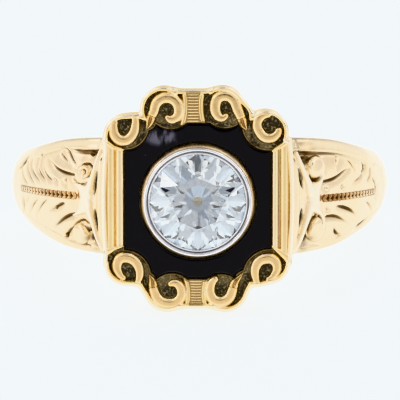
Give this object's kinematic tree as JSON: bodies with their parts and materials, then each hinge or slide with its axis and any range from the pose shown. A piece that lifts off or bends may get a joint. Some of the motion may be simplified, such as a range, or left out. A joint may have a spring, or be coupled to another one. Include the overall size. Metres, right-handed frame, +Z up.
{
  "type": "enamel ring",
  "caption": "Gold finger ring with a scalloped scroll-framed head, black enamel around one round stone in a white rim, and carved shoulders.",
  "frame": {"origin": "middle of the box's underside: the surface that the ring lies on is z = 0", "axes": "+Z up, X across the hoop and the face, -Y the way the face looks, tipped up by about 14 degrees as the ring lies on its side"},
  "size_m": [0.0208, 0.0231, 0.0123],
  "materials": {
    "gold": "polished",
    "enamel": "gloss",
    "white_metal": "polished",
    "stone": "gloss"
  },
  "bodies": {
    "root": {"gold_mount": "gold", "enamel_panel": "enamel", "stone_rim": "white_metal", "diamond": "stone"}
  },
  "joints": []
}
